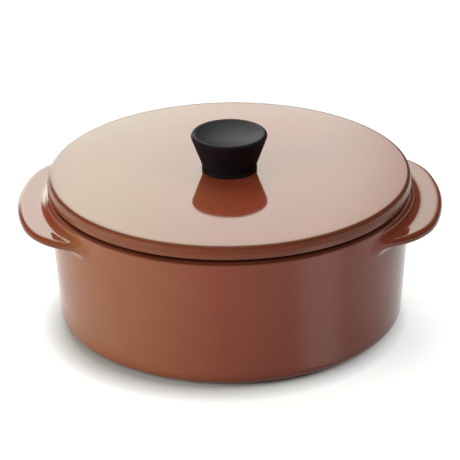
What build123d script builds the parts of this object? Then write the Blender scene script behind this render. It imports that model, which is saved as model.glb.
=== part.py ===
from build123d import *
import os

# A round glazed casserole: a deep dish with two lug handles, and a flat lid lifted by a tapered knob.
# Millimetres. Z is up, the dish stands on Z = 0, and the lugs point along X.

# Dish
dish_height = 96.5
rim_radius = 125.0
wall_taper = 6.7
wall = 6.5
floor_thickness = 8.0
rim_outer_round = 3.5
rim_inner_round = 1.6
base_round = 8.0
inner_corner_round = 16.0

# Foot ring under the dish
foot_height = 1.5
foot_inset = 10.3
foot_width = 6.0
foot_round = 0.6

# Lug handles: flat ledges with a full round on the edge
lug_projection = 20.8
lug_edge_radius = 145.0
lug_edge_half_width = 40.0
lug_end_width = 36.5
lug_thickness = 6.0
lug_drop = 9.8
lug_edge_round = 2.8
lug_blend = 6.5

# Lid: its top rolls over a broad shoulder to a ridge, and its lip stands clear of the rim
lid_edge_height = 10.2
lid_crown = 1.1
lid_plate = 7.0
lid_shoulder_drop = 5.4
lid_shoulder_run = 2.2
lid_shoulder_round = 8.2
lid_ridge_round = 1.2
lid_lip_gap = 1.0
lid_lip_width = 2.6
lid_lip_step = 1.0
lid_lip_round = 1.0
lid_seat_round = 0.4
lid_flat_radius = 21.0
lid_hole_radius = 4.0
lid_hole_round = 0.8

# Locating ring under the lid, which drops into the mouth of the dish
ring_clearance = 1.6
ring_depth = 5.0
ring_width = 6.0
ring_round = 2.2
ring_blend = 5.0
ring_root_round = 1.2

# Knob, with a dished top, and the seat ring under it
knob_height = 23.9
knob_foot_radius = 18.2
knob_top_radius = 27.0
knob_dish_radius = 23.4
knob_dish_depth = 3.6
knob_rim_round = 2.0
knob_dish_round = 3.0
knob_foot_round = 0.5
seat_height = 2.8
seat_overhang = 0.7
seat_chamfer = 0.4
seat_bore_radius = 7.5

# Brass insert in the knob
insert_radius = 5.0
insert_length = 14.0
insert_collar_radius = 6.5
insert_collar_height = 2.5
insert_bore_depth = 11.5
insert_fit = 0.05

# Screw from below, with its washers
screw_radius = 3.0
screw_thread_fit = 0.05
screw_grip = 10.0
screw_head_radius = 6.0
screw_head_height = 3.6
screw_head_round = 2.4
screw_tip_chamfer = 0.6
slot_width = 1.6
slot_depth = 1.6
washer_radius = 9.0
washer_thickness = 1.6
washer_clearance = 0.2
washer_chamfer = 0.2
seal_radius = 10.0
seal_thickness = 1.5
seal_clearance = 0.1
seal_chamfer = 0.3

# Heights and radii that follow from the sizes above
base_radius = rim_radius - wall_taper
foot_radius = base_radius - foot_inset
wall_slope = wall_taper / (dish_height - foot_height)
mouth_radius = rim_radius - wall
inner_floor = foot_height + floor_thickness
inner_floor_radius = mouth_radius - wall_slope * (dish_height - inner_floor)
lug_bottom = dish_height - lug_drop - lug_thickness
lug_reach = rim_radius + lug_projection
lug_centre = lug_reach - lug_edge_radius
lug_root_radius = rim_radius - wall_slope * (dish_height - lug_bottom) - wall / 2
lug_half_width = lug_edge_half_width + lug_end_width
lug_turn_x = lug_centre + (lug_edge_radius**2 - lug_edge_half_width**2) ** 0.5
lug_end_x = (lug_root_radius**2 - lug_half_width**2) ** 0.5
lid_edge_top = dish_height + lid_edge_height
lid_top = lid_edge_top + lid_crown
lid_underside = lid_top - lid_plate
lid_lip = dish_height + lid_lip_gap
lid_lip_radius = rim_radius - lid_lip_width
ring_radius = mouth_radius - ring_clearance
ring_inner_radius = ring_radius - ring_width
ring_bottom = dish_height - ring_depth
seat_top = lid_top + seat_height
knob_top = seat_top + knob_height
insert_top = seat_top + insert_length
seal_bottom = lid_underside - seal_thickness
washer_bottom = seal_bottom - washer_thickness
screw_tip = seat_top + screw_grip
screw_head_bottom = washer_bottom - screw_head_height

def round_corner(section, corner, radius):
    """Round the corner of a section that lies nearest to a point."""
    fillet(section.vertices().sort_by_distance(corner)[0], radius)


# Lug: a ledge whose outer edge is one shallow arc, turned in to the wall at both ends and rounded
lug_turn = (lug_turn_x, lug_edge_half_width)
lug_end = (lug_end_x, lug_half_width)
lug_middle = (lug_reach, 0)
with BuildPart() as lug:
    with BuildSketch(Plane.XY.offset(lug_bottom)):
        with BuildLine():
            shallow_arc = RadiusArc(lug_middle, lug_turn, -lug_edge_radius)
            TangentArc(lug_turn, lug_end, tangent=shallow_arc % 1)
            Polyline(lug_end, (0, 0), lug_middle)
        make_face()
        mirror(about=Plane.XZ)
        Circle(lug_root_radius, mode=Mode.SUBTRACT)
    extrude(amount=lug_thickness)
    ledge_edges = lug.faces().filter_by(Axis.Z).edges()
    root_edges = ledge_edges.filter_by(GeomType.CIRCLE).group_by(SortBy.RADIUS)[-1]
    fillet(ledge_edges - root_edges, lug_edge_round)

# Dish: one section turned about Z, a lug on each side, and a foot ring below
base_corner = (base_radius, foot_height)
rim_corner = (rim_radius, dish_height)
mouth_corner = (mouth_radius, dish_height)
inner_corner = (inner_floor_radius, inner_floor)
with BuildPart() as dish:
    with BuildSketch(Plane.XZ) as dish_section:
        with BuildLine():
            Polyline(
                (0, foot_height),
                base_corner,
                rim_corner,
                mouth_corner,
                inner_corner,
                (0, inner_floor),
                close=True,
            )
        make_face()
        round_corner(dish_section, base_corner, base_round)
        round_corner(dish_section, rim_corner, rim_outer_round)
        round_corner(dish_section, mouth_corner, rim_inner_round)
        round_corner(dish_section, inner_corner, inner_corner_round)
    revolve(axis=Axis.Z)
    add(lug.part)
    fillet(dish.edges(Select.NEW), lug_blend)
    add(mirror(lug.part, about=Plane.YZ, mode=Mode.PRIVATE))
    fillet(dish.edges(Select.NEW), lug_blend)
    with BuildSketch(Plane.XY.offset(foot_height)):
        Circle(foot_radius)
        Circle(foot_radius - foot_width, mode=Mode.SUBTRACT)
    extrude(amount=-foot_height)
    fillet(dish.edges().group_by(Axis.Z)[0], foot_round)
dish.part.label = "dish"

# Lid: a flat plate, faintly crowned, with the locating ring under it
lid_shoulder_corner = (rim_radius - lid_shoulder_run, lid_edge_top)
lid_ridge_corner = (rim_radius, lid_edge_top - lid_shoulder_drop)
lid_lip_corner = (rim_radius, lid_lip)
lid_step_corner = (lid_lip_radius, lid_lip)
lid_seat_corner = (lid_lip_radius - lid_lip_step, dish_height)
ring_root_corner = (ring_radius, dish_height)
ring_outer_corner = (ring_radius, ring_bottom)
ring_inner_corner = (ring_inner_radius, ring_bottom)
ring_blend_corner = (ring_inner_radius, lid_underside)
with BuildPart() as lid:
    with BuildSketch(Plane.XZ) as lid_section:
        with BuildLine():
            Line((lid_hole_radius, lid_top), (lid_flat_radius, lid_top))
            TangentArc((lid_flat_radius, lid_top), lid_shoulder_corner, tangent=(1, 0))
            Polyline(
                lid_shoulder_corner,
                lid_ridge_corner,
                lid_lip_corner,
                lid_step_corner,
                lid_seat_corner,
                ring_root_corner,
                ring_outer_corner,
                ring_inner_corner,
                ring_blend_corner,
                (lid_hole_radius, lid_underside),
                (lid_hole_radius, lid_top),
            )
        make_face()
        round_corner(lid_section, lid_shoulder_corner, lid_shoulder_round)
        round_corner(lid_section, lid_ridge_corner, lid_ridge_round)
        round_corner(lid_section, lid_lip_corner, lid_lip_round)
        round_corner(lid_section, lid_step_corner, lid_seat_round)
        round_corner(lid_section, lid_seat_corner, lid_seat_round)
        round_corner(lid_section, ring_root_corner, ring_root_round)
        round_corner(lid_section, ring_outer_corner, ring_round)
        round_corner(lid_section, ring_inner_corner, ring_round)
        round_corner(lid_section, ring_blend_corner, ring_blend)
        round_corner(lid_section, (lid_hole_radius, lid_underside), lid_hole_round)
        round_corner(lid_section, (lid_hole_radius, lid_top), lid_hole_round)
    revolve(axis=Axis.Z)
lid.part.label = "lid"

# Knob: a cone that widens upwards, with a dished top and a pocket for its insert
knob_foot_corner = (knob_foot_radius, seat_top)
knob_rim_corner = (knob_top_radius, knob_top)
knob_dish_corner = (knob_dish_radius, knob_top)
knob_centre = (0, knob_top - knob_dish_depth)
with BuildPart() as knob:
    with BuildSketch(Plane.XZ) as knob_section:
        with BuildLine():
            Polyline(
                knob_centre,
                (0, seat_top),
                knob_foot_corner,
                knob_rim_corner,
                knob_dish_corner,
            )
            TangentArc(knob_centre, knob_dish_corner, tangent=(1, 0))
        make_face()
        round_corner(knob_section, knob_foot_corner, knob_foot_round)
        round_corner(knob_section, knob_rim_corner, knob_rim_round)
        round_corner(knob_section, knob_dish_corner, knob_dish_round)
    revolve(axis=Axis.Z)
    with BuildSketch(Plane.XY.offset(seat_top)):
        Circle(insert_radius + insert_fit)
    extrude(amount=insert_length + insert_fit, mode=Mode.SUBTRACT)
    with BuildSketch(Plane.XY.offset(insert_top + insert_fit)):
        Circle(insert_collar_radius + insert_fit)
    extrude(amount=-insert_collar_height - 2 * insert_fit, mode=Mode.SUBTRACT)
knob.part.label = "knob"

# Seat ring between knob and lid
with BuildPart() as knob_seat:
    with BuildSketch(Plane.XY.offset(lid_top)):
        Circle(knob_foot_radius + seat_overhang)
        Circle(seat_bore_radius, mode=Mode.SUBTRACT)
    extrude(amount=seat_height)
    rings = knob_seat.edges().filter_by(GeomType.CIRCLE)
    chamfer(rings.group_by(SortBy.RADIUS)[-1], seat_chamfer)
knob_seat.part.label = "knob_seat"

# Threaded insert held in the knob by its collar
with BuildPart() as knob_insert:
    with BuildSketch(Plane.XY.offset(seat_top)):
        Circle(insert_radius)
    extrude(amount=insert_length)
    with BuildSketch(Plane.XY.offset(insert_top)):
        Circle(insert_collar_radius)
    extrude(amount=-insert_collar_height)
    with BuildSketch(Plane.XY.offset(seat_top)):
        Circle(screw_radius + screw_thread_fit)
    extrude(amount=insert_bore_depth, mode=Mode.SUBTRACT)
knob_insert.part.label = "knob_insert"

# Screw, entered from under the lid: a pan head with one slot
with BuildPart() as knob_screw:
    with BuildSketch(Plane.XY.offset(screw_head_bottom)):
        Circle(screw_head_radius)
    extrude(amount=screw_head_height)
    fillet(knob_screw.edges().group_by(Axis.Z)[0], screw_head_round)
    with BuildSketch(Plane.XY.offset(screw_head_bottom)):
        Rectangle(4 * screw_head_radius, slot_width)
    extrude(amount=slot_depth, mode=Mode.SUBTRACT)
    with BuildSketch(Plane.XY.offset(washer_bottom)):
        Circle(screw_radius)
    extrude(amount=screw_tip - washer_bottom)
    chamfer(knob_screw.edges().group_by(Axis.Z)[-1], screw_tip_chamfer)
knob_screw.part.label = "knob_screw"

# Steel washer under the screw's head
with BuildPart() as screw_washer:
    with BuildSketch(Plane.XY.offset(washer_bottom)):
        Circle(washer_radius)
        Circle(screw_radius + washer_clearance, mode=Mode.SUBTRACT)
    extrude(amount=washer_thickness)
    rings = screw_washer.edges().filter_by(GeomType.CIRCLE)
    chamfer(rings.group_by(SortBy.RADIUS)[-1], washer_chamfer)
screw_washer.part.label = "screw_washer"

# Soft washer that seals the hole under the lid
with BuildPart() as sealing_washer:
    with BuildSketch(Plane.XY.offset(seal_bottom)):
        Circle(seal_radius)
        Circle(screw_radius + seal_clearance, mode=Mode.SUBTRACT)
    extrude(amount=seal_thickness)
    rings = sealing_washer.edges().filter_by(GeomType.CIRCLE)
    chamfer(rings.group_by(SortBy.RADIUS)[-1], seal_chamfer)
sealing_washer.part.label = "sealing_washer"

os.makedirs("parts", exist_ok=True)
export_step(dish.part, "parts/dish.step")
export_step(lid.part, "parts/lid.step")
export_step(knob.part, "parts/knob.step")
export_step(knob_seat.part, "parts/knob_seat.step")
export_step(knob_insert.part, "parts/knob_insert.step")
export_step(knob_screw.part, "parts/knob_screw.step")
export_step(screw_washer.part, "parts/screw_washer.step")
export_step(sealing_washer.part, "parts/sealing_washer.step")
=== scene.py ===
# %% [markdown]
# # A glazed casserole with a flat lid
# This lesson dresses a round ceramic baking dish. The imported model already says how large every
# piece is and how the lid moves. Here each visible piece gets a finer skin, a finish that looks
# fired or moulded, and a plain studio to stand in.

# %% Load the frame
import math

import bmesh
import bpy
import numpy as np
from mathutils import Matrix, Vector


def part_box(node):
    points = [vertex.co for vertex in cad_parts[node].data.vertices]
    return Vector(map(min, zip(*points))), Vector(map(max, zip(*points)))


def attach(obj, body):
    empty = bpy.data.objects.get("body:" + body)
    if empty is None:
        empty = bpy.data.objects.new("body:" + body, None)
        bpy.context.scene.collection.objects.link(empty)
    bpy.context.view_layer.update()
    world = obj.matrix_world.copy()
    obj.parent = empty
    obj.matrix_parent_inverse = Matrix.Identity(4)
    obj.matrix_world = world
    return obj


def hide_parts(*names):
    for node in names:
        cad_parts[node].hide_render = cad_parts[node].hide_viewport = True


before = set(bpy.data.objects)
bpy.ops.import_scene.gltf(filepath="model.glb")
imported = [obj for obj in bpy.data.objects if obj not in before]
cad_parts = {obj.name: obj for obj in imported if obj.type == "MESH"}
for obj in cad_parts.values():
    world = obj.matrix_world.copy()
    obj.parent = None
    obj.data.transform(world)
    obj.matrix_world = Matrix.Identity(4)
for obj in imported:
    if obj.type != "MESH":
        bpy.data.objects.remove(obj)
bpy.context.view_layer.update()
print("nodes:", sorted(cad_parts))

# %% [markdown]
# ## The sizes that the pieces share
# The skins below have to lie on the solids, so the sizes are the same ones, in millimetres.

# %% Sizes of the dish and the lid
MM = 0.001
WALL = 6.5
FOOT_HEIGHT = 1.5
TAPER = 6.7  # how much narrower the wall is at its foot, on each side


def in_mm(corners):
    """The corners of a box, from metres to millimetres."""
    return [Vector(corner) / MM for corner in corners]


dish_high = in_mm(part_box("dish"))[1]
lid_low, lid_high = in_mm(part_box("lid"))
DISH_HEIGHT = dish_high.z
LID_RADIUS = lid_high.x
LID_TOP = lid_high.z
RIM_RADIUS = LID_RADIUS
WALL_SLOPE = TAPER / (DISH_HEIGHT - FOOT_HEIGHT)
print(f"dish {DISH_HEIGHT:.1f} mm high, lid {2 * LID_RADIUS:.1f} across, its top at {LID_TOP:.1f}")

# %% [markdown]
# ## Half sections with rounded corners
# A potter's or a moulder's piece is round because it was turned, so its whole shape is one half
# section. A section is a list of corners, each with its own rounding radius, which is how a drawing
# gives it. `rounded_section` replaces a corner by an arc. It also adds a held point a little before
# and after each arc: without these, smooth shading would bend the light over the flat beside the
# arc, and a glossy glaze shows that at once. Each point also says how glaze runs there: 1 on a
# sharp outer edge, where it thins and is coloured darker, partly as painted shade, and -1 in a
# tight hollow, where it pools. Lower numbers, which the slot under the lid gets later, are painted
# shade, nearly black.

# %% Helper: a half section from corners and radii
ARC_STEP = math.radians(9.0)  # turn from one point of an arc to the next
HOLD = 0.3  # how far the held points lie from the arc
FULL_HOLD = 2.5  # roundings below this radius get a shorter hold
SPAN = 4.0  # the longest straight span
SHARP = 3.0  # the largest rounding that makes glaze run fully thin, or pool fully


def rounded_section(corners, closed=False):
    """Rows (radius, height, glaze run and painted shade) of a section, from corners (radius,
    height, rounding).
    """
    count = len(corners)
    points = []
    for i, (x, z, rounding) in enumerate(corners):
        here = np.array([x, z], float)
        if rounding == 0 or (not closed and i in (0, count - 1)):
            points.append((x, z, 0.0))
            continue
        before = corners[i - 1][:2] - here
        after = corners[(i + 1) % count][:2] - here
        before /= np.linalg.norm(before)
        after /= np.linalg.norm(after)
        half_angle = math.acos(float(np.clip(before @ after, -1.0, 1.0))) / 2
        reach = rounding / math.tan(half_angle)
        middle = before + after
        centre = here + middle / np.linalg.norm(middle) * rounding / math.sin(half_angle)
        start = here + before * reach - centre
        turn = math.pi - 2 * half_angle
        if before[0] * after[1] - before[1] * after[0] > 0:
            turn = -turn
        run_and_shade = math.copysign(min(1.0, SHARP / rounding), turn)
        steps = max(3, math.ceil(abs(turn) / ARC_STEP))
        hold = reach + HOLD * min(1.0, rounding / FULL_HOLD)
        points.append((*(here + before * hold), run_and_shade / 2))
        for k in range(steps + 1):
            cos, sin = math.cos(turn * k / steps), math.sin(turn * k / steps)
            on_arc = centre + (cos * start[0] - sin * start[1], sin * start[0] + cos * start[1])
            points.append((*on_arc, run_and_shade * math.sin(math.pi * (k + 2) / (steps + 4))))
        points.append((*(here + after * hold), run_and_shade / 2))
    if closed:
        points.append(points[0])
    return shorter_spans(np.array(points))


def shorter_spans(points):
    """Splits long straight spans, so that what is painted on the points stays near them."""
    rows = [points[0]]
    for start, end in zip(points[:-1], points[1:]):
        steps = max(1, math.ceil(np.linalg.norm(end[:2] - start[:2]) / SPAN))
        for k in range(1, steps + 1):
            row = start + (end - start) * k / steps
            row[2] *= 1.0 if k == steps else 0.0
            rows.append(row)
    return np.array(rows)


print("a 2 mm rounding gives", len(rounded_section([(0, 0, 0), (9, 0, 2), (9, 9, 0)])), "rows")

# %% [markdown]
# ## A node tree that turns a half section
# Turning is a rule, so Geometry Nodes can do it: a grid gets one column for each division of the
# circle and one row for each point of the section. Each grid vertex looks up its row's point with
# Sample Index and is moved to that radius and height, at its column's angle. Merge by Distance then
# closes the seam and the points on the axis. The section carries a number that says where glaze
# runs thin and where shade is painted, and the tree hands it on to the turned surface.

# %% Helpers: nodes and links in one call, and objects
MERGE = 1e-6  # points closer than this, in metres, become one


def add_node(tree, kind, inputs=None, **settings):
    """A new node with its settings, and its inputs linked or set."""
    node = tree.nodes.new(kind)
    for key, value in settings.items():
        setattr(node, key, value)
    for key, value in (inputs or {}).items():
        if isinstance(value, bpy.types.NodeSocket):
            tree.links.new(value, node.inputs[key])
        else:
            node.inputs[key].default_value = value
    return node


def lay_out(tree):
    """Puts the nodes in reading order, in columns of four."""
    for i, node in enumerate(tree.nodes):
        node.location = (220 * (i // 4), -240 * (i % 4))


def new_object(name, data):
    """An object for a mesh, a lamp or a camera, put into the scene."""
    made = bpy.data.objects.new(name, data)
    bpy.context.scene.collection.objects.link(made)
    return made


# %% The tree "turned piece"
def make_turning_tree():
    """A half section goes in, and a closed turned piece with its finish comes out."""
    tree = bpy.data.node_groups.new("turned piece", "GeometryNodeTree")
    for name, kind in (("Half section", "Geometry"), ("Divisions", "Int"), ("Finish", "Material")):
        tree.interface.new_socket(name, in_out="INPUT", socket_type="NodeSocket" + kind)
    tree.interface.new_socket("Turned piece", in_out="OUTPUT", socket_type="NodeSocketGeometry")

    def geometry(kind, inputs=None, **settings):
        """The first output of a new geometry node."""
        return add_node(tree, "GeometryNode" + kind, inputs, **settings).outputs[0]

    def maths(operation, a, b=0.0):
        """The result of a new Math node."""
        return add_node(tree, "ShaderNodeMath", {0: a, 1: b}, operation=operation).outputs[0]

    given = add_node(tree, "NodeGroupInput").outputs
    section, divisions = given["Half section"], given["Divisions"]
    rows = geometry("AttributeDomainSize", {0: section})
    columns = maths("ADD", divisions, 1.0)
    grid = geometry("MeshGrid", {"Vertices X": columns, "Vertices Y": rows})
    index = geometry("InputIndex")
    row = maths("MODULO", index, rows)
    column = maths("FLOOR", maths("DIVIDE", index, rows))
    angle = maths("MULTIPLY", maths("DIVIDE", column, divisions), math.tau)

    def of_this_row(value, kind):
        """What the section's point holds that belongs to a vertex's row."""
        looked_up = {"Geometry": section, "Value": value, "Index": row}
        return geometry("SampleIndex", looked_up, data_type=kind)

    point = of_this_row(geometry("InputPosition"), "FLOAT_VECTOR")
    split = add_node(tree, "ShaderNodeSeparateXYZ", {0: point}).outputs
    across = maths("MULTIPLY", split["X"], maths("COSINE", angle))
    along = maths("MULTIPLY", split["X"], maths("SINE", angle))
    place = add_node(tree, "ShaderNodeCombineXYZ", {0: across, 1: along, 2: split["Z"]}).outputs[0]
    run_and_shade = of_this_row(geometry("InputNamedAttribute", {"Name": "glaze_run_and_shade"}), "FLOAT")
    painted = {"Geometry": grid, "Name": "glaze_run_and_shade", "Value": run_and_shade}
    marked = geometry("StoreNamedAttribute", painted)
    turned = geometry("SetPosition", {"Geometry": marked, "Position": place})
    merged = geometry("MergeByDistance", {"Geometry": turned, "Distance": MERGE})
    smooth = geometry("SetShadeSmooth", {"Geometry": merged})
    real = geometry("RealizeInstances", {"Geometry": smooth})
    done = geometry("SetMaterial", {"Geometry": real, "Material": given["Finish"]})
    add_node(tree, "NodeGroupOutput", {0: done})
    lay_out(tree)
    return tree


turning_tree = make_turning_tree()
print("tree", turning_tree.name, "has", len(turning_tree.nodes), "nodes")


# %% Helper: turn a section with that tree, then bake the result to a plain mesh
def turned_piece(name, section, finish, divisions):
    """A plain mesh object, turned from rows (radius, height, glaze run and painted shade) in
    millimetres.
    """
    line = bpy.data.meshes.new(name + " section")
    corners = [(x * MM, 0.0, z * MM) for x, z, _ in section]
    line.from_pydata(corners, [(i, i + 1) for i in range(len(section) - 1)], [])
    line.attributes.new("glaze_run_and_shade", "FLOAT", "POINT").data.foreach_set("value", section[:, 2])
    piece = new_object(name, line)
    modifier = piece.modifiers.new("turn", "NODES")
    modifier.node_group = turning_tree
    for item in turning_tree.interface.items_tree:
        if item.name == "Divisions":
            modifier[item.identifier] = divisions
        elif item.name == "Finish":
            modifier[item.identifier] = finish
    evaluated = piece.evaluated_get(bpy.context.evaluated_depsgraph_get())
    mesh = bpy.data.meshes.new_from_object(evaluated)
    piece.modifiers.remove(modifier)
    piece.data = mesh
    across = 2 * max(v.co.x for v in mesh.vertices) / MM
    print(f"{name}: {len(mesh.polygons)} faces, {across:.1f} mm across")
    return piece


# %% [markdown]
# ## Fired glaze
# The dish and its lid wear one glossy cinnamon glaze. On a sharp edge the layer runs thin and is
# coloured a darker brown, partly as thin glaze and partly as painted shade, and where it pools in a
# hollow it is darker too. In the slot under the lid, and on the rim just below it, shade is
# painted: the glaze there turns nearly black. A number on each point says where, and slow noise
# keeps the colour from being flat. Glaze that is thin or pooled is also a little duller. The left
# of the wall is painted lighter and more golden, as light from the left would make it. A faint
# bump, like the skin of an orange, makes reflections swim slightly, as they do on real glaze. The
# foot ring is wiped clean before firing, so below a height the bare clay shows.

# %% Helpers: a fresh material, and a colour from display values
def new_finish(name):
    """A material, its node tree and its Principled shader."""
    finish = bpy.data.materials.new(name)
    finish.use_nodes = True
    tree = finish.node_tree
    return finish, tree, tree.nodes["Principled BSDF"]


def srgb(red, green, blue):
    """A linear colour with alpha from 0-255 display values."""
    channels = [c / 255 for c in (red, green, blue)]
    linear = [c / 12.92 if c <= 0.04045 else ((c + 0.055) / 1.055) ** 2.4 for c in channels]
    return (*linear, 1.0)


CLAY, CLAY_DARK = srgb(196, 178, 158), srgb(170, 150, 130)
print("bare clay in linear light:", [round(part, 3) for part in CLAY[:3]])

# %% Helpers: numbers in a material's tree
NOISE_RANGE = (0.3, 0.7)  # noise seldom leaves this range
MIDDLE_RANGE = (0.35, 0.65)  # cut at both ends, for clearer patches


def place_on_piece(tree):
    """Object coordinates, in metres from the frame's origin."""
    return add_node(tree, "ShaderNodeTexCoord").outputs["Object"]


def split_xyz(tree, vector):
    """The three numbers of a vector, by name."""
    return add_node(tree, "ShaderNodeSeparateXYZ", {0: vector}).outputs


def noise(tree, scale, detail=2.0, roughness=0.5, place=None):
    """Noise in features per metre, on Object coordinates unless another place is given."""
    inputs = {"Vector": place or place_on_piece(tree), "Scale": scale}
    inputs.update({"Detail": detail, "Roughness": roughness})
    return add_node(tree, "ShaderNodeTexNoise", inputs).outputs["Fac"]


def shader_math(tree, operation, a, b=0.5):
    """The result of one Math node."""
    return add_node(tree, "ShaderNodeMath", {0: a, 1: b}, operation=operation).outputs[0]


def remap(tree, value, low, high, to_low=0.0, to_high=1.0, ease="LINEAR"):
    """A value from one range to another, clamped."""
    inputs = {"Value": value, "From Min": low, "From Max": high}
    inputs.update({"To Min": to_low, "To Max": to_high})
    return add_node(tree, "ShaderNodeMapRange", inputs, interpolation_type=ease).outputs[0]


# %% Helpers: mixed colours and bumps
def mix_colour(tree, factor, first, second):
    """The first colour at factor 0, the second at 1."""
    mixer = add_node(tree, "ShaderNodeMix", data_type="RGBA")
    for name, value in (("Factor", factor), ("A", first), ("B", second)):
        socket = [s for s in mixer.inputs if s.name == name and s.enabled][0]
        if isinstance(value, bpy.types.NodeSocket):
            tree.links.new(value, socket)
        else:
            socket.default_value = value
    return [s for s in mixer.outputs if s.enabled][0]


def add_bump(tree, skin, height, strength, depth):
    """A bump on the shader's normal, its depth in metres."""
    inputs = {"Height": height, "Strength": strength, "Distance": depth}
    bump = add_node(tree, "ShaderNodeBump", inputs)
    tree.links.new(bump.outputs[0], skin.inputs["Normal"])


# %% Colours and measures of the glaze
GLAZE = (0.240, 0.048, 0.024, 1.0)
# thin glaze on edges; its darker brown is partly painted shade
GLAZE_THIN_AND_SHADE = (0.135, 0.034, 0.014, 1.0)
# pooled glaze; the same colour also carries painted shade in the slot and on the rim
GLAZE_POOL_AND_SHADE = (0.130, 0.024, 0.010, 1.0)
# painted light: the lighter, more golden colour of the wall's left side
GLAZE_LIT_SIDE = (0.255, 0.088, 0.036, 1.0)
# painted shade: the near black of the slot under the lid
SLOT_SHADE_BLACK = (0.022, 0.006, 0.003, 1.0)
GLAZE_IOR = 1.33
GLOSS = (0.055, 0.085)  # roughness of plain glaze
THIN_DULLER, POOL_DULLER = 0.20, 0.14
CLAY_ROUGHNESS = 0.8
DRIFT, MOTTLE = 0.10, 0.05  # how much the slow and the fine noise shift the glaze's run
# Painted light: the left of the wall, where the light comes from, is coloured lighter and more
# golden.
LIT_SIDE_START, LIT_SIDE_FULL = -0.005, -0.080  # metres along X, towards the golden side
LUG_PLAIN, LUG_ROOT = -0.122, -0.108  # the gold fades out here, from the wall to the lug
LIT_SIDE_WAVE = 0.12  # how far the slow noise moves the gold's edge
BARE_END, BARE_FULL = 0.0006, 0.0001  # heights up to which the clay is bare
RAGGED = 0.0005  # how uneven the wiped edge is
print(f"the wall turns golden over {1000 * (LIT_SIDE_START - LIT_SIDE_FULL):.0f} mm")


# %% Glaze
def make_glaze():
    """Cinnamon glaze: its colour and gloss follow the glaze run with its painted shade, height,
    side and noise; the lighter golden side is painted light.
    """
    finish, tree, skin = new_finish("cinnamon glaze")
    drift = remap(tree, noise(tree, scale=9.0, detail=3.0), *MIDDLE_RANGE, -DRIFT, DRIFT)
    mottle = noise(tree, scale=70.0, detail=4.0, roughness=0.6)
    mottle = remap(tree, mottle, *NOISE_RANGE, -MOTTLE, MOTTLE)
    run_and_shade = add_node(tree, "ShaderNodeAttribute", attribute_name="glaze_run_and_shade").outputs["Fac"]
    depth = shader_math(tree, "ADD", run_and_shade, shader_math(tree, "ADD", drift, mottle))
    # Thin glaze on edges is coloured darker, partly as painted shade.
    thin_and_shade = remap(tree, depth, 0.0, 1.0)
    # The pool mask is pooled glaze in hollows, and painted shade in the slot and on the rim below
    # the lid.
    pool_and_shade = remap(tree, depth, 0.0, -1.0)
    place = split_xyz(tree, place_on_piece(tree))
    # Painted light: the wall turns lighter and golden towards the left, fading out on the lugs.
    side = shader_math(tree, "ADD", place["X"], shader_math(tree, "MULTIPLY", drift, LIT_SIDE_WAVE))
    lit_side = remap(tree, side, LIT_SIDE_START, LIT_SIDE_FULL)
    lit_side = shader_math(tree, "MULTIPLY", lit_side, remap(tree, place["X"], LUG_PLAIN, LUG_ROOT))
    colour = mix_colour(tree, lit_side, GLAZE, GLAZE_LIT_SIDE)
    colour = mix_colour(tree, thin_and_shade, colour, GLAZE_THIN_AND_SHADE)
    colour = mix_colour(tree, pool_and_shade, colour, GLAZE_POOL_AND_SHADE)
    # Painted shade: far below zero, in the slot under the lid and on the rim below it, the glaze
    # turns nearly black.
    colour = mix_colour(tree, remap(tree, depth, -1.0, -2.0), colour, SLOT_SHADE_BLACK)
    ragged = shader_math(tree, "MULTIPLY", noise(tree, scale=260.0), RAGGED)
    bare = remap(tree, shader_math(tree, "SUBTRACT", place["Z"], ragged), BARE_END, BARE_FULL)
    grain = remap(tree, noise(tree, scale=900.0, detail=3.0), *MIDDLE_RANGE)
    clay = mix_colour(tree, grain, CLAY, CLAY_DARK)
    tree.links.new(mix_colour(tree, bare, colour, clay), skin.inputs["Base Color"])
    gloss = remap(tree, noise(tree, scale=40.0, detail=3.0), *NOISE_RANGE, *GLOSS)
    gloss = shader_math(tree, "ADD", gloss, shader_math(tree, "MULTIPLY", thin_and_shade, THIN_DULLER))
    gloss = shader_math(tree, "ADD", gloss, shader_math(tree, "MULTIPLY", pool_and_shade, POOL_DULLER))
    inputs = {0: bare, 2: gloss, 3: CLAY_ROUGHNESS}
    gloss = add_node(tree, "ShaderNodeMix", inputs, data_type="FLOAT").outputs[0]
    tree.links.new(gloss, skin.inputs["Roughness"])
    skin.inputs["IOR"].default_value = GLAZE_IOR
    add_bump(tree, skin, noise(tree, scale=130.0, detail=1.0), strength=0.05, depth=0.0004)
    lay_out(tree)
    return finish


glaze = make_glaze()
print("glaze has", len(glaze.node_tree.nodes), "nodes")

# %% [markdown]
# ## Moulded plastic and soft black rings
# The knob is moulded in black heat-proof plastic with a fine matt grain, so it has a broad soft
# sheen and no mirror. The seat ring and the sealing washer are silicone rubber, duller still.

# %% Knob plastic and silicone
BLACK_IOR = 1.17
BLACK_TINT = (0.95, 0.80, 1.0, 1.0)


def make_black(name, dark, pale, rough_low, rough_high, grain):
    """A black moulded finish: two near blacks, a grain in its bump and its roughness."""
    finish, tree, skin = new_finish(name)
    speck = noise(tree, grain, detail=3.0, roughness=0.6)
    cloud = remap(tree, noise(tree, scale=45.0), *NOISE_RANGE)
    tree.links.new(mix_colour(tree, cloud, dark, pale), skin.inputs["Base Color"])
    roughness = remap(tree, speck, *NOISE_RANGE, rough_low, rough_high)
    tree.links.new(roughness, skin.inputs["Roughness"])
    add_bump(tree, skin, speck, strength=0.25, depth=0.00006)
    skin.inputs["IOR"].default_value = BLACK_IOR
    skin.inputs["Specular Tint"].default_value = BLACK_TINT
    lay_out(tree)
    return finish


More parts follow.
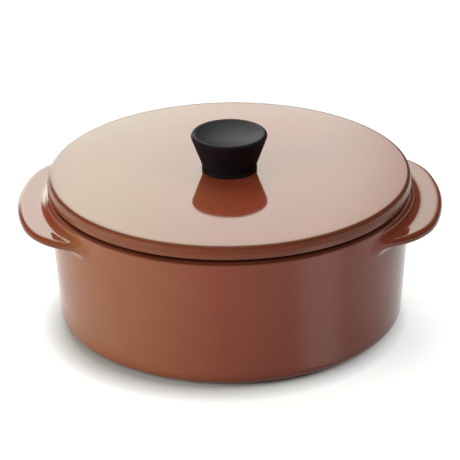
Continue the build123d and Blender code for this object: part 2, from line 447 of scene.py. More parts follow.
knob_plastic = make_black(
    "knob plastic",
    dark=(0.0075, 0.0055, 0.0075, 1),
    pale=(0.0125, 0.0095, 0.0125, 1),
    rough_low=0.39,
    rough_high=0.54,
    grain=1800.0,
)
silicone = make_black(
    "black silicone",
    dark=(0.009, 0.008, 0.007, 1),
    pale=(0.014, 0.012, 0.011, 1),
    rough_low=0.55,
    rough_high=0.75,
    grain=2600.0,
)
print("made", knob_plastic.name, "and", silicone.name)

# %% [markdown]
# ## Metal that is only seen from below
# The screw and its washer are stainless steel and the insert is brass. Turned metal has fine rings
# round its axis, so the noise is read on the distance from Z rather than in all directions.

# %% Turned metal
METAL_ROUGHNESS = (0.22, 0.40)


def make_turned_metal(name, colour, dull):
    """A metal with fine lathe rings round Z."""
    finish, tree, skin = new_finish(name)
    place = split_xyz(tree, place_on_piece(tree))
    flat = add_node(tree, "ShaderNodeCombineXYZ", {0: place["X"], 1: place["Y"]}).outputs[0]
    radius = add_node(tree, "ShaderNodeVectorMath", {0: flat}, operation="LENGTH").outputs["Value"]
    rings = add_node(tree, "ShaderNodeCombineXYZ", {0: radius, 2: place["Z"]}).outputs[0]
    lathe = noise(tree, scale=2500.0, place=rings)
    cloud = remap(tree, noise(tree, scale=300.0), *NOISE_RANGE)
    tree.links.new(mix_colour(tree, cloud, colour, dull), skin.inputs["Base Color"])
    roughness = remap(tree, lathe, *NOISE_RANGE, *METAL_ROUGHNESS)
    tree.links.new(roughness, skin.inputs["Roughness"])
    add_bump(tree, skin, lathe, strength=0.2, depth=0.00003)
    skin.inputs["Metallic"].default_value = 1.0
    lay_out(tree)
    return finish


# %% Finishes for the nodes that keep their solids
steel = make_turned_metal("stainless steel", srgb(200, 198, 194), srgb(176, 174, 170))
brass = make_turned_metal("brass", srgb(222, 190, 120), srgb(196, 160, 92))
hidden_finishes = {
    "knob_screw": steel,
    "screw_washer": steel,
    "knob_insert": brass,
    "sealing_washer": silicone,
}
for node, finish in hidden_finishes.items():
    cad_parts[node].material_slots[0].material = finish
print("finishes on", ", ".join(hidden_finishes))

# %% [markdown]
# ## The lid
# The lid is a flat plate, a millimetre higher in the middle than at the edge so that it doesn't
# look sunken. Its top rolls over a tight shoulder to a ridge, its lip stands clear of the rim so
# that a dark slot runs round below it, and a ring drops into the dish. It is turned from one closed
# section, hole and all.

# %% Sizes of the lid
SHOULDER_RUN = 1.2
SHOULDER_DROP = 5.4
SHOULDER_ROUND = 2.8
RIDGE_ROUND = 1.2
LIP_WIDTH = 2.6
LIP_GAP = 1.0
LIP_ROUND = 1.0
SEAT_ROUND = 0.4
CROWN = 1.1
CROWN_START = 21.0
CROWN_BORDER = 9.0
LID_PLATE = 7.0
LID_HOLE = 4.0
HOLE_ROUND = 0.8
RING_PLAY = 1.6
RING_WIDTH = 6.0
RING_ROUND = 2.2
RING_INNER_ROOT = 5.0
RING_OUTER_ROOT = 1.2
RING_OUTER = LID_RADIUS - WALL - RING_PLAY
RING_INNER = RING_OUTER - RING_WIDTH
RING_BOTTOM = lid_low.z
lid_edge_top = LID_TOP - CROWN
lid_underside = LID_TOP - LID_PLATE
lip_bottom = DISH_HEIGHT + LIP_GAP
lip_edge = LID_RADIUS - LIP_WIDTH
seat_edge = lip_edge - LIP_GAP
shoulder_edge = LID_RADIUS - SHOULDER_RUN
crown_run = shoulder_edge - CROWN_START


def crown_height(radius):
    """Height of the lid's top at a radius."""
    past = max(0.0, radius - CROWN_START)
    return LID_TOP - CROWN * (past / crown_run) ** 3


print(f"edge of the lid at {lid_edge_top:.1f} mm, its ring down to {RING_BOTTOM:.1f} mm")

# %% The lid's section
crown_radii = np.linspace(LID_RADIUS - CROWN_BORDER, CROWN_START, 14)
lid_section = rounded_section(
    [
        (LID_HOLE, lid_underside, HOLE_ROUND),
        (RING_INNER, lid_underside, RING_INNER_ROOT),
        (RING_INNER, RING_BOTTOM, RING_ROUND),
        (RING_OUTER, RING_BOTTOM, RING_ROUND),
        (RING_OUTER, DISH_HEIGHT, RING_OUTER_ROOT),
        (seat_edge, DISH_HEIGHT, SEAT_ROUND),
        (lip_edge, lip_bottom, SEAT_ROUND),
        (LID_RADIUS, lip_bottom, LIP_ROUND),
        (LID_RADIUS, lid_edge_top - SHOULDER_DROP, RIDGE_ROUND),
        (shoulder_edge, lid_edge_top, SHOULDER_ROUND),
        *[(radius, crown_height(radius), 0) for radius in crown_radii],
        (LID_HOLE, LID_TOP, HOLE_ROUND),
    ],
    closed=True,
)
print("the lid's section has", len(lid_section), "rows")

# %% [markdown]
# The points inside the slot get painted shade, nearly black, and those on the upright side thin
# glaze, coloured darker partly as painted shade.

# %% Glaze and painted shade on the lid's edge, and the turned lid
# Painted shade inside the slot, and thin glaze coloured darker, partly as painted shade, on the
# upright side.
SLOT_SHADE_RUN = -2.2
SIDE_THIN_AND_SHADE = 0.6
SLOT_BACK = seat_edge - 0.5
SLOT_ROOF = lip_bottom + 0.3
SIDE_START = LID_RADIUS - 1.3
in_slot = (lid_section[:, 0] > SLOT_BACK) & (lid_section[:, 1] < SLOT_ROOF)
lid_section[in_slot, 2] = SLOT_SHADE_RUN
on_side = (lid_section[:, 0] > SIDE_START) & ~in_slot
lid_section[on_side, 2] = np.maximum(lid_section[on_side, 2], SIDE_THIN_AND_SHADE)
lid = turned_piece("lid_glazed", lid_section, glaze, 288)
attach(lid, "lid")
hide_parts("lid")

# %% [markdown]
# ## The knob
# A cone that widens upwards gives fingers something to pull on, and its dished top takes the thumb.
# The pocket for the brass insert is part of the same section.

# %% Sizes of the knob
knob_low, knob_high = in_mm(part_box("knob"))
insert_high = in_mm(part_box("knob_insert"))[1]
KNOB_FOOT, KNOB_TOP = knob_low.z, knob_high.z
KNOB_FOOT_RADIUS, KNOB_FOOT_ROUND = 18.2, 0.5
KNOB_CORNER, KNOB_CORNER_ROUND = 27.0, 2.0
KNOB_DISH, KNOB_DISH_ROUND = 23.4, 3.0
KNOB_DISH_DEPTH = 3.6
KNOB_DISH_BORDER = 2.4
INSERT_FIT = 0.05
INSERT_BARREL = 5.0
COLLAR_HEIGHT = 2.5
barrel = INSERT_BARREL + INSERT_FIT
collar = insert_high.x + INSERT_FIT
collar_top = insert_high.z + INSERT_FIT
collar_bottom = insert_high.z - COLLAR_HEIGHT - INSERT_FIT
dish_curve = (KNOB_DISH**2 + KNOB_DISH_DEPTH**2) / (2 * KNOB_DISH_DEPTH)


def thumb_height(radius):
    """Height of the knob's dished top at a radius."""
    return KNOB_TOP - KNOB_DISH_DEPTH + dish_curve - math.sqrt(dish_curve**2 - radius**2)


print(f"knob from {KNOB_FOOT:.1f} to {KNOB_TOP:.1f} mm, dished on a radius of {dish_curve:.1f} mm")

# %% Knob
thumb_radii = np.linspace(KNOB_DISH - KNOB_DISH_BORDER, 0, 10)
knob_section = rounded_section(
    [
        (0, collar_top, 0),
        (collar, collar_top, 0),
        (collar, collar_bottom, 0),
        (barrel, collar_bottom, 0),
        (barrel, KNOB_FOOT, 0),
        (KNOB_FOOT_RADIUS, KNOB_FOOT, KNOB_FOOT_ROUND),
        (KNOB_CORNER, KNOB_TOP, KNOB_CORNER_ROUND),
        (KNOB_DISH, KNOB_TOP, KNOB_DISH_ROUND),
        *[(radius, thumb_height(radius), 0) for radius in thumb_radii],
    ]
)
knob = turned_piece("knob_moulded", knob_section, knob_plastic, 192)
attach(knob, "lid")
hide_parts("knob")

# %% Seat ring
SEAT_BORE, BORE_ROUND = 7.5, 0.2
SEAT_EDGE_ROUND = 0.45
ring_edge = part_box("knob_seat")[1].x / MM
seat_section = rounded_section(
    [
        (SEAT_BORE, LID_TOP, BORE_ROUND),
        (ring_edge, LID_TOP, SEAT_EDGE_ROUND),
        (ring_edge, KNOB_FOOT, SEAT_EDGE_ROUND),
        (SEAT_BORE, KNOB_FOOT, BORE_ROUND),
    ],
    closed=True,
)
seat_ring = turned_piece("knob_seat_ring", seat_section, silicone, 160)
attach(seat_ring, "lid")
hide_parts("knob_seat")

# %% [markdown]
# ## The dish and its lugs
# The dish is turned too, apart from its two lugs, which were pressed out of the same clay and melt
# into the wall. A lug could be modelled by hand and joined, but a join shows in glaze. Here the
# wall and the lug are written as distances, how far a point is outside each, and `blended` joins
# the two distances with a fillet of constant radius. Rays from inside the wall find where that
# blend is zero. The rays fan out in fixed order, so the rings and columns of the turned wall simply
# swell out into the lug, in one mesh without a seam.

# %% Distance to the wall
RIM_ROUND = 3.5


def wall_radius(height):
    """The wall's outer radius at a height."""
    return RIM_RADIUS - WALL_SLOPE * (DISH_HEIGHT - height)


slope_angle = math.atan(WALL_SLOPE)
rim_round_height = DISH_HEIGHT - RIM_ROUND
rim_round_radius = wall_radius(rim_round_height) - RIM_ROUND / math.cos(slope_angle)


def outside_wall(radius, height):
    """Distance outside the tapered wall and the rounding of its rim."""
    from_wall = (radius - wall_radius(height)) * math.cos(slope_angle)
    from_round = np.hypot(radius - rim_round_radius, height - rim_round_height) - RIM_ROUND
    above = height - rim_round_height > -WALL_SLOPE * (radius - rim_round_radius)
    return np.where(above & (radius > rim_round_radius), from_round, from_wall)


print(f"the wall leans out by {math.degrees(slope_angle):.2f} degrees")

# %% Distance to a lug
LUG_REACH = dish_high.x
LUG_EDGE_RADIUS = 145.0
LUG_TURN = 40.0  # half the width at which the edge starts to turn in
LUG_END = 76.5  # half the width at which it meets the wall
LUG_DROP = 9.8
LUG_THICKNESS = 6.0
LUG_MIDDLE = DISH_HEIGHT - LUG_DROP - LUG_THICKNESS / 2
LUG_ROUND = 2.8
lug_centre = LUG_REACH - LUG_EDGE_RADIUS
turn_angle = math.asin(LUG_TURN / LUG_EDGE_RADIUS)
outwards = np.array([math.cos(turn_angle), math.sin(turn_angle)])
turn_point = outwards * LUG_EDGE_RADIUS + (lug_centre, 0)
lug_root = wall_radius(LUG_MIDDLE - LUG_THICKNESS / 2) - WALL / 2
to_end = (math.sqrt(lug_root**2 - LUG_END**2), LUG_END) - turn_point
lug_corner = -(to_end @ to_end) / (2 * to_end @ outwards)
core_corner, core_half = turn_point - lug_corner * outwards
core_radius = LUG_EDGE_RADIUS - lug_corner


def outside_lug_outline(x, y):
    """Distance outside the lug's outline in plan: a wide arc, and ends with round corners."""
    y = np.abs(y)
    from_arc = np.hypot(x - lug_centre, y) - core_radius
    from_end = y - core_half
    from_corner = np.hypot(x - core_corner, from_end)
    past_corner = (x > core_corner) & (np.arctan2(y, x - lug_centre) > turn_angle)
    return np.where(past_corner, from_corner, np.maximum(from_arc, from_end)) - lug_corner


def outside_lug(x, y, z):
    """Distance outside the lug: that outline, as a slab with a round edge."""
    sideways = outside_lug_outline(x, y) + LUG_ROUND
    upwards = np.abs(z - LUG_MIDDLE) - (LUG_THICKNESS / 2 - LUG_ROUND)
    rounded = np.hypot(np.maximum(sideways, 0), np.maximum(upwards, 0))
    return np.minimum(np.maximum(sideways, upwards), 0) + rounded - LUG_ROUND


print(f"the lug's ends turn in to the wall on arcs of {lug_corner:.1f} mm")

# %% Wall and lug as one, and how a ray finds them
BLEND = 6.5


def blended(angle, radius, height):
    """Distance outside wall and lug together, with a fillet where they meet."""
    wall = outside_wall(radius, height)
    lug = outside_lug(radius * np.cos(angle), radius * np.sin(angle), height)
    near = np.hypot(np.maximum(BLEND - wall, 0), np.maximum(BLEND - lug, 0))
    return np.maximum(BLEND, np.minimum(wall, lug)) - near


def first_zero(outside, low, high, rounds=40):
    """Where a distance along rays turns from negative to positive, by halving."""
    low, high = np.broadcast_arrays(low, high)
    low, high = low.copy(), high.copy()
    for _ in range(rounds):
        middle = (low + high) / 2
        inside = outside(middle) < 0
        low, high = np.where(inside, middle, low), np.where(inside, high, middle)
    return (low + high) / 2


lug_wall = wall_radius(LUG_MIDDLE)
print(f"the wall is {lug_wall:.1f} mm out at the lug, which reaches {LUG_REACH:.1f} mm")

# %% [markdown]
# The columns lie closer together near a lug's ends, where the outline turns most. The rays of a
# column aim at the points of a plain lug section as long as the lug is there: fillet, flat, round
# edge. Where there is no lug the rays spread evenly over the wall instead.

# %% Points of a lug section that the rays aim at
BEHIND = 12.0  # how far inside the wall the rays start
FILLET_POINTS, FLAT_POINTS, EDGE_POINTS = 8, 5, 8
eye_radius = lug_wall - BEHIND
lug_top, lug_bottom = LUG_MIDDLE + LUG_THICKNESS / 2, LUG_MIDDLE - LUG_THICKNESS / 2
ball_lift = lug_top + BLEND - rim_round_height
upper_ball = rim_round_radius + math.sqrt((RIM_ROUND + BLEND) ** 2 - ball_lift**2) - lug_wall
upper_start = 180 + math.degrees(math.asin(ball_lift / (RIM_ROUND + BLEND)))
lower_ball = wall_radius(lug_bottom - BLEND) + BLEND / math.cos(slope_angle) - lug_wall
lower_start = 180 - math.degrees(slope_angle)


def arc_points(centre, radius, start, end, count):
    """Points on an arc, from one angle in degrees to another."""
    turn = np.radians(np.linspace(start, end, count))
    return centre + radius * np.stack([np.cos(turn), np.sin(turn)], 1)


def lug_section(length, ball, start):
    """Targets (out from the wall, off the lug's middle) on half a lug section."""
    half = LUG_THICKNESS / 2
    fillet = arc_points([ball, half + BLEND], BLEND, start, 270, FILLET_POINTS)
    along = np.linspace(ball, length - LUG_ROUND, FLAT_POINTS + 2)[1:-1]
    flat = np.stack([along, np.full(FLAT_POINTS, half)], 1)
    edge = arc_points([length - LUG_ROUND, half - LUG_ROUND], LUG_ROUND, 90, 0, EDGE_POINTS)
    return np.concatenate([fillet, flat, edge])


print("half a lug section has", len(lug_section(20.0, lower_ball, lower_start)), "points")

# %% Rays of one column
BAND_BOTTOM = LUG_MIDDLE - 11.0
BAND_TOP = DISH_HEIGHT - 2.2
FULL_LUG = 12.0  # from this length on, a column aims at the whole section


def aim_from_eye(targets):
    """Angles up from the level ray to the targets."""
    return np.arctan2(targets[:, 1], targets[:, 0] + BEHIND)


def ray_angles(length):
    """Angles of one column's rays, from the band's bottom to its top, for a lug this long there."""
    upper = aim_from_eye(lug_section(max(length, FULL_LUG), upper_ball, upper_start))
    lower = -aim_from_eye(lug_section(max(length, FULL_LUG), lower_ball, lower_start))
    rim_out = rim_round_radius + math.sqrt(RIM_ROUND**2 - (BAND_TOP - rim_round_height) ** 2)
    top = math.atan2(BAND_TOP - LUG_MIDDLE, rim_out - eye_radius)
    bottom = math.atan2(BAND_BOTTOM - LUG_MIDDLE, wall_radius(BAND_BOTTOM) - eye_radius)
    first_two, last_two = [bottom, (bottom + lower[0]) / 2], [(upper[0] + top) / 2, top]
    aimed = np.concatenate([first_two, lower, [0.0], upper[::-1], last_two])
    even = np.linspace(bottom, top, len(aimed))
    share = np.clip(length / FULL_LUG, 0, 1)
    share = share * share * (3 - 2 * share)
    return aimed * share + even * (1 - share)


print("each column has", len(ray_angles(FULL_LUG)), "rays")

# %% All columns, and where their rays meet the surface
WIDE_STEP, FINE_STEP = 2.0, 0.4  # degrees from column to column
ENDS_FROM, ENDS_TO = 26, 48  # degrees between which a lug's end lies
NEAREST, FARTHEST = 60.0, 150.0  # radii between which the outline is looked for
LONGEST_RAY = 60.0
middle_of_lug = np.arange(0, ENDS_FROM, WIDE_STEP)
end_of_lug = np.arange(ENDS_FROM, ENDS_TO, FINE_STEP)
plain_wall = np.arange(ENDS_TO, 90, WIDE_STEP)
quarter = np.radians(np.concatenate([middle_of_lug, end_of_lug, plain_wall]))
back = quarter[::-1]
turns = np.concatenate([quarter, math.pi - back, math.pi + quarter, math.tau - back])
turns = np.unique(np.round(np.append(turns, [math.pi / 2, 3 * math.pi / 2]) % math.tau, 9))
folded = np.arctan2(np.sin(turns), np.abs(np.cos(turns)))


def outside_in_plan(radius):
    """Distance outside the lug's outline, at a radius on every column."""
    return outside_lug_outline(radius * np.cos(folded), radius * np.sin(folded))


lengths = np.maximum(0, first_zero(outside_in_plan, NEAREST, FARTHEST) - lug_wall)
fans = np.array([ray_angles(length) for length in lengths])
across, up = np.cos(fans), np.sin(fans)


def outside_on_rays(travel):
    """Distance outside the blend, this far along every ray."""
    return blended(folded[:, None], eye_radius + travel * across, LUG_MIDDLE + travel * up)


travel = first_zero(outside_on_rays, np.float64(0), np.full(fans.shape, LONGEST_RAY))
band_radius = eye_radius + travel * across
band_height = LUG_MIDDLE + travel * up
print(f"{len(turns)} columns, tip at {band_radius.max():.2f} mm")

# %% [markdown]
# The rest of the dish is an ordinary half section: foot ring, base, wall, rim, then down the inside
# to the floor. The band of rays replaces its outer wall between two heights, so every column has
# the same number of rows and the faces are plain quads.

# %% The dish's section, and the rows that the band replaces
BASE_RADIUS = RIM_RADIUS - TAPER
BASE_ROUND = 8.0
FOOT_RADIUS = BASE_RADIUS - 10.3
FOOT_INNER = FOOT_RADIUS - 6.0
FOOT_ROUND = 0.6
MOUTH_RADIUS = RIM_RADIUS - WALL
MOUTH_ROUND = 1.6
FLOOR_THICKNESS = 8.0
FLOOR_ROUND = 16.0
FLOOR = FOOT_HEIGHT + FLOOR_THICKNESS
ON_WALL = 0.01
dish_section = rounded_section(
    [
        (0, FOOT_HEIGHT, 0),
        (FOOT_INNER, FOOT_HEIGHT, 0),
        (FOOT_INNER, 0, FOOT_ROUND),
        (FOOT_RADIUS, 0, FOOT_ROUND),
        (FOOT_RADIUS, FOOT_HEIGHT, 0),
        (BASE_RADIUS, FOOT_HEIGHT, BASE_ROUND),
        (wall_radius(BAND_BOTTOM), BAND_BOTTOM, 0),
        (RIM_RADIUS, DISH_HEIGHT, RIM_ROUND),
        (MOUTH_RADIUS, DISH_HEIGHT, MOUTH_ROUND),
        (MOUTH_RADIUS - WALL_SLOPE * (DISH_HEIGHT - FLOOR), FLOOR, FLOOR_ROUND),
        (0, FLOOR, 0),
    ]
)
radii, heights = dish_section[:, 0], dish_section[:, 1]
on_wall = np.abs(outside_wall(radii, heights)) < ON_WALL
in_band = on_wall & (heights > BAND_BOTTOM - ON_WALL) & (heights < BAND_TOP + 0.1)
first, last = np.flatnonzero(in_band)[[0, -1]]
column_count = len(turns)
below = np.repeat(dish_section[None, :first], column_count, 0)
above = np.repeat(dish_section[None, last + 1 :], column_count, 0)
print(f"rows {first} to {last} of {len(dish_section)} give way to the band")

# %% [markdown]
# Glaze runs thin on a lug's edge, coloured darker partly as painted shade, and pools a little where
# the lug leaves the wall. Up to the slot under the lid, shade is painted: the glaze darkens there.

# %% Where the glaze runs, and where shade is painted, on the dish
EDGE_WIDTH, EDGE_RUN = 4.0, 0.8
ROOT_WIDTH, ROOT_RUN = 2.0, 0.5
# Painted shade on the outside of the rim, under the lid's lip: where it starts below the rim, how
# wide, and how dark.
RIM_SHADE_START, RIM_SHADE_WIDTH, RIM_SHADE_RUN = 4.0, 3.0, 2.6  # millimetres below the rim, and how dark
proud = np.clip(band_radius - wall_radius(band_height), 0, None)
there = np.clip(lengths[:, None] / FULL_LUG, 0, 1)
on_edge = np.clip((proud - (lengths[:, None] - EDGE_WIDTH)) / EDGE_WIDTH, 0, 1) * there
at_root = np.clip(1 - np.abs(proud - ROOT_WIDTH) / ROOT_WIDTH, 0, 1) * there
band = np.stack([band_radius, band_height, EDGE_RUN * on_edge - ROOT_RUN * at_root], 2)
rings = np.concatenate([below, band, above], 1)
# Painted shade: the outside of the rim darkens up to the slot under the lid's lip.
rim_shade = np.clip((rings[..., 1] - (DISH_HEIGHT - RIM_SHADE_START)) / RIM_SHADE_WIDTH, 0, 1)
outer_side = rings[..., 0] > MOUTH_RADIUS + 0.5
rings[..., 2] -= RIM_SHADE_RUN * rim_shade * outer_side
print(f"glaze runs from {rings[..., 2].min():.1f} to {rings[..., 2].max():.1f}")

# %% The dish's mesh
CM3 = 1e-6
row_count = rings.shape[1]
turned_x = rings[..., 0] * np.cos(turns)[:, None]
turned_y = rings[..., 0] * np.sin(turns)[:, None]
vertices = np.stack([turned_x, turned_y, rings[..., 1]], 2).reshape(-1, 3)
column, row = np.meshgrid(np.arange(column_count), np.arange(row_count - 1), indexing="ij")
here, beside = column * row_count + row, (column + 1) % column_count * row_count + row
quads = np.stack([here, beside, beside + 1, here + 1], 2).reshape(-1, 4)
dish_mesh = bpy.data.meshes.new("dish_glazed")
dish_mesh.from_pydata((vertices * MM).tolist(), [], quads.tolist())
runs_and_shade = dish_mesh.attributes.new("glaze_run_and_shade", "FLOAT", "POINT")
runs_and_shade.data.foreach_set("value", rings[..., 2].ravel())
work = bmesh.new()
work.from_mesh(dish_mesh)
bmesh.ops.remove_doubles(work, verts=work.verts, dist=MERGE)
bmesh.ops.recalc_face_normals(work, faces=work.faces)
for face in work.faces:
    face.smooth = True
open_edges = sum(not edge.is_manifold for edge in work.edges)
volume = work.calc_volume(signed=True) / CM3
work.to_mesh(dish_mesh)
work.free()
dish_mesh.materials.append(glaze)
dish = new_object("dish_glazed", dish_mesh)
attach(dish, "dish")
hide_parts("dish")
print(f"dish: {len(dish_mesh.polygons)} faces, {open_edges} open edges, clay {volume:.0f} cm3")

# %% [markdown]
# ## The studio
# The ground is plain white with a soft shadow. The floor is pale and lit like the object. What the
# camera and mirrors see of it is lifted to white by a glow, which fades out a little way from the
# foot. Round the dish this keeps the object's cast shadow and also paints shadow on the pale paper,
# mostly in front and to the left.

# %% Floor
PAPER, PAPER_PALE = (0.595, 0.615, 0.63, 1), (0.615, 0.635, 0.65, 1)
WHITE = (1, 1, 1, 1)
FLOOR_LIFT = 0.60
LIFT_START, LIFT_FULL = 0.107, 0.130  # metres from the dark middle
PAINTED_SHADOW_MIDDLE = (-0.007, -0.008, 0.0)
FLOOR_RADIUS, FLOOR_LEVEL, FLOOR_EDGES = 9.0, -0.0002, 96


def make_paper():
    """Studio paper that looks white, apart from cast and painted shadow near the foot."""
    finish, tree, skin = new_finish("studio paper")
    grain = noise(tree, scale=400.0, detail=3.0)
    tree.links.new(mix_colour(tree, grain, PAPER, PAPER_PALE), skin.inputs["Base Color"])
    skin.inputs["Roughness"].default_value = 0.9
    skin.inputs["Specular IOR Level"].default_value = 0.0
    rays = add_node(tree, "ShaderNodeLightPath").outputs
    seen = shader_math(tree, "MAXIMUM", rays["Is Camera Ray"], rays["Is Glossy Ray"])
    seen = shader_math(tree, "MAXIMUM", seen, rays["Is Transmission Ray"])
    # Painted shadow: the glow fades out round a point a little in front of and left of the dish's
    # middle, so near the foot the paper shows darker than the cast shadow alone makes it, mostly in
    # front and to the left.
    ends = {0: place_on_piece(tree), 1: PAINTED_SHADOW_MIDDLE}
    away = add_node(tree, "ShaderNodeVectorMath", ends, operation="DISTANCE").outputs["Value"]
    lift = remap(tree, away, LIFT_START, LIFT_FULL, 0.0, FLOOR_LIFT)
    strength = shader_math(tree, "MULTIPLY", seen, lift)
    glow = add_node(tree, "ShaderNodeEmission", {"Color": WHITE, "Strength": strength})
    both = add_node(tree, "ShaderNodeAddShader", {0: skin.outputs[0], 1: glow.outputs[0]})
    tree.links.new(both.outputs[0], tree.nodes["Material Output"].inputs["Surface"])
    lay_out(tree)
    return finish


def flat_sheet(name, corners, finish):
    """A flat piece of the studio with one face."""
    mesh = bpy.data.meshes.new(name)
    mesh.from_pydata(corners, [], [list(range(len(corners)))])
    mesh.materials.append(finish)
    return new_object(name, mesh)


floor_turns = np.linspace(0, math.tau, FLOOR_EDGES + 1)[:-1]
floor_rim = [
    (FLOOR_RADIUS * math.cos(turn), FLOOR_RADIUS * math.sin(turn), FLOOR_LEVEL)
    for turn in floor_turns
]
floor = flat_sheet("studio_floor", floor_rim, make_paper())
bpy.context.scene.view_settings.view_transform = "Standard"
print("floor", floor.name, "ready")

# %% [markdown]
# ## A soft box behind the object
# Glaze is a mirror at a low angle, so the look of the lid is mostly the look of what stands behind
# it. The world holds one soft box that rises behind the object and bends over it. `bend` is the
# angle up from the horizon behind, as a share of a half turn, and `across` runs from left to right.
# The profile gives the box's brightness by bend, in degrees. Its right end runs outwards with
# height, its left end is narrow only at the height that the flat lid mirrors, and low on the left
# it stops higher up.

# %% Measures of the soft box
HALF_TURN = 180
BOX_TOP = 8.0  # the brightness that the profile's colours are a share of
BOX_PROFILE = (
    (0, 3.9),
    (10, 4.6),
    (22, 4.6),
    (28, 4.95),
    (38, 5.1),
    (48, 5.0),
    (60, 3.2),
    (75, 1.7),
    (92, 0.8),
    (108, 0.5),
    (128, 0.2),
    (145, 0.0),
)
LID_BEND = 28 / HALF_TURN  # the bend that the flat lid mirrors
RIGHT_BENDS, RIGHT_ENDS = (38 / HALF_TURN, 58 / HALF_TURN), (0.10, 0.32)
LEFT_BENDS, LEFT_ENDS = (5 / HALF_TURN, 15 / HALF_TURN), (-0.22, -0.52)
LOW_ACROSS, LOW_ENDS = (-0.26, -0.06), (-4 / HALF_TURN, 15.5 / HALF_TURN)
RIGHT_SOFT, LEFT_SOFT, LOW_SOFT = 0.06, 0.07, 2.5 / HALF_TURN
FADE_ACROSS, FADE = (-0.09, 0.09), (1.07, 0.88)  # a little dimmer to the right
ROOM = 0.06  # brightness of the room around it
ROOM_COLOUR = (0.94, 1.02, 0.92, 1)  # the box has it too
brightest = max(BOX_PROFILE, key=lambda step: step[1])
print(f"the soft box is brightest {brightest[0]} degrees up")


# %% The soft box in the world
def make_soft_box():
    """One soft box that rises behind the object and bends over it, in a dim room."""
    world = bpy.data.worlds.new("studio")
    world.use_nodes = True
    tree = world.node_tree
    way = add_node(tree, "ShaderNodeTexCoord").outputs["Generated"]
    x, y, z = split_xyz(tree, way)
    bend = shader_math(tree, "MULTIPLY", shader_math(tree, "ARCTAN2", z, y), 1 / math.pi)
    squares = [shader_math(tree, "MULTIPLY", part, part) for part in (y, z)]
    upright = shader_math(tree, "SQRT", shader_math(tree, "ADD", *squares))
    across = shader_math(tree, "DIVIDE", x, upright)
    profile = add_node(tree, "ShaderNodeValToRGB", {0: bend})
    ramp = profile.color_ramp
    while len(ramp.elements) < len(BOX_PROFILE):
        ramp.elements.new(1.0)
    for stop, (angle, radiance) in zip(ramp.elements, BOX_PROFILE):
        stop.position = angle / HALF_TURN
        stop.color = (*[radiance / BOX_TOP] * 3, 1)
    off_lid = shader_math(tree, "ABSOLUTE", shader_math(tree, "SUBTRACT", bend, LID_BEND))

    def within(value, end, start, full):
        """1 inside the box's end, 0 outside, with a soft ramp."""
        past = shader_math(tree, "SUBTRACT", value, end)
        return remap(tree, past, start, full, ease="SMOOTHSTEP")

    right_end = remap(tree, bend, *RIGHT_BENDS, *RIGHT_ENDS)
    left_end = remap(tree, off_lid, *LEFT_BENDS, *LEFT_ENDS)
    low_end = remap(tree, across, *LOW_ACROSS, *LOW_ENDS)
    level = profile.outputs["Color"]
    for share in (
        within(across, right_end, RIGHT_SOFT, -RIGHT_SOFT),
        within(across, left_end, -LEFT_SOFT, LEFT_SOFT),
        within(bend, low_end, -LOW_SOFT, LOW_SOFT),
        remap(tree, across, *FADE_ACROSS, *FADE),
        BOX_TOP,
    ):
        level = shader_math(tree, "MULTIPLY", level, share)
    background = tree.nodes["Background"]
    background.inputs["Color"].default_value = ROOM_COLOUR
    tree.links.new(shader_math(tree, "ADD", level, ROOM), background.inputs["Strength"])
    lay_out(tree)
    bpy.context.scene.world = world


make_soft_box()
print("soft box with", len(BOX_PROFILE), "steps of brightness")

# %% [markdown]
# ## Lamps that only light the walls
# The walls face the front, where the soft box doesn't reach. Three soft lamps light them. The left
# one is low, strong and a little warm, so the glaze is lightest on the left. Glaze would mirror a
# lamp as a hard patch, so mirrors don't see them.

# %% Lamps
OBJECT_MIDDLE = Vector((0, 0, 0.05))
LAMP_DISTANCE = 2.4
LAMP_HEIGHT = 1.0


def wall_lamp(name, azimuth, elevation, width, radiance, colour):
    """An even soft panel. Azimuth 0 is behind the object, 90 on its right. Radiance 1 is white."""
    azimuth, elevation = math.radians(azimuth), math.radians(elevation)
    light = bpy.data.lights.new(name, "AREA")
    light.shape = "RECTANGLE"
    light.size, light.size_y = width, LAMP_HEIGHT
    light.energy = radiance * math.pi * width * LAMP_HEIGHT
    light.color = colour
    panel = new_object(name, light)
    place = Vector(
        (
            LAMP_DISTANCE * math.sin(azimuth) * math.cos(elevation),
            LAMP_DISTANCE * math.cos(azimuth) * math.cos(elevation),
            LAMP_DISTANCE * math.sin(elevation),
        )
    )
    panel.location = place
    panel.rotation_euler = (OBJECT_MIDDLE - place).to_track_quat("-Z", "Y").to_euler()
    panel.visible_glossy = False


for name, azimuth, elevation, width, radiance, colour in (
    ("left lamp", -114, 17, 1.6, 9.6, (1.0, 0.97, 0.88)),
    ("front lamp", -172, 36, 1.3, 2.7, (1.0, 0.97, 0.92)),
    ("right lamp", 104, 40, 1.3, 2.6, (1.0, 0.98, 0.95)),
):
    wall_lamp(name, azimuth, elevation, width, radiance, colour)

# %% [markdown]
# ## A glowing card that paints a reflection
# A soft upright band of light is wanted on the right of the wall. A tapered wall mirrors the floor
# beside it, so a glowing card lies there, shaded out to both sides by the angle round a point in
# front of the dish's middle. It is no lamp and lights nothing: only mirrors see it, so it paints a
# reflected band of light on the wall.

# %% Floor card, which paints a reflection
CARD_MIDDLE_Y = -0.062
CARD_GLOW = 1.0
CARD_CORNERS = [
    (0.04, -0.13, 0.0),
    (0.10, -0.33, 0.0),
    (0.34, -0.33, 0.0),
    (0.34, -0.10, 0.0),
    (0.11, -0.07, 0.0),
]
CARD_LEFT = (math.radians(-54), math.radians(-36))  # dark, then bright
CARD_RIGHT = (math.radians(-13), math.radians(-30))


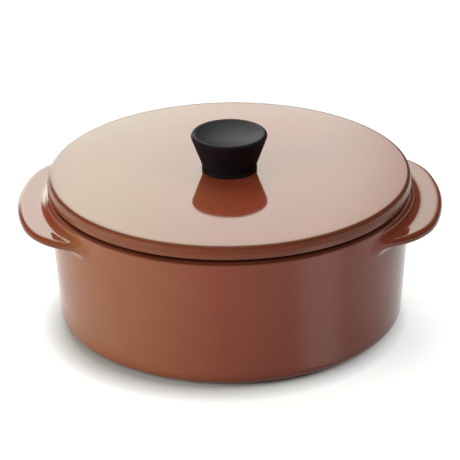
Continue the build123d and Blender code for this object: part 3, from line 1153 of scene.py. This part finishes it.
def make_reflection_card():
    """A clear sheet that glows, most in its middle, and paints a reflected band of light."""
    finish, tree, skin = new_finish("painted reflection card")
    tree.nodes.remove(skin)
    place = split_xyz(tree, place_on_piece(tree))
    past_middle = shader_math(tree, "SUBTRACT", place["Y"], CARD_MIDDLE_Y)
    turn = shader_math(tree, "ARCTAN2", past_middle, place["X"])
    from_left = remap(tree, turn, *CARD_LEFT, ease="SMOOTHSTEP")
    from_right = remap(tree, turn, *CARD_RIGHT, ease="SMOOTHSTEP")
    share = shader_math(tree, "MULTIPLY", from_left, from_right)
    strength = shader_math(tree, "MULTIPLY", share, CARD_GLOW)
    glow = add_node(tree, "ShaderNodeEmission", {"Color": WHITE, "Strength": strength})
    clear = add_node(tree, "ShaderNodeBsdfTransparent")
    both = add_node(tree, "ShaderNodeAddShader", {0: glow.outputs[0], 1: clear.outputs[0]})
    tree.links.new(both.outputs[0], tree.nodes["Material Output"].inputs["Surface"])
    lay_out(tree)
    return finish


card = flat_sheet("painted_reflection_card", CARD_CORNERS, make_reflection_card())
# Only mirrors see the card: it paints a reflected band of light and lights nothing.
card.visible_camera = card.visible_diffuse = card.visible_shadow = False
print("card", card.name, "lies beside the dish")

# %% [markdown]
# ## The camera
# Twenty-five degrees above the table, two metres away, with a long lens. The photograph leans by
# under a degree, so the camera does too.

# %% Camera
PITCH = math.radians(24.88)
LEAN = math.radians(0.73)
DISTANCE = 2.0
AIM = Vector((-0.0002, 0.0, 0.06149))
FOCAL_PIXELS, FRAME_PIXELS = 2891.1, 460
forward = Vector((0, math.cos(PITCH), -math.sin(PITCH)))
level_up = Vector((0, math.sin(PITCH), math.cos(PITCH)))
level_right = Vector((1, 0, 0))
right = level_right * math.cos(LEAN) - level_up * math.sin(LEAN)
up_side = level_right * math.sin(LEAN) + level_up * math.cos(LEAN)
lens = bpy.data.cameras.new("camera")
lens.sensor_width = 36.0
lens.lens = FOCAL_PIXELS / FRAME_PIXELS * lens.sensor_width
camera = new_object("camera", lens)
turned = Matrix((right, up_side, -forward)).transposed().to_4x4()
camera.matrix_world = Matrix.Translation(AIM - forward * DISTANCE) @ turned
bpy.context.scene.camera = camera
print(f"lens {lens.lens:.1f} mm")
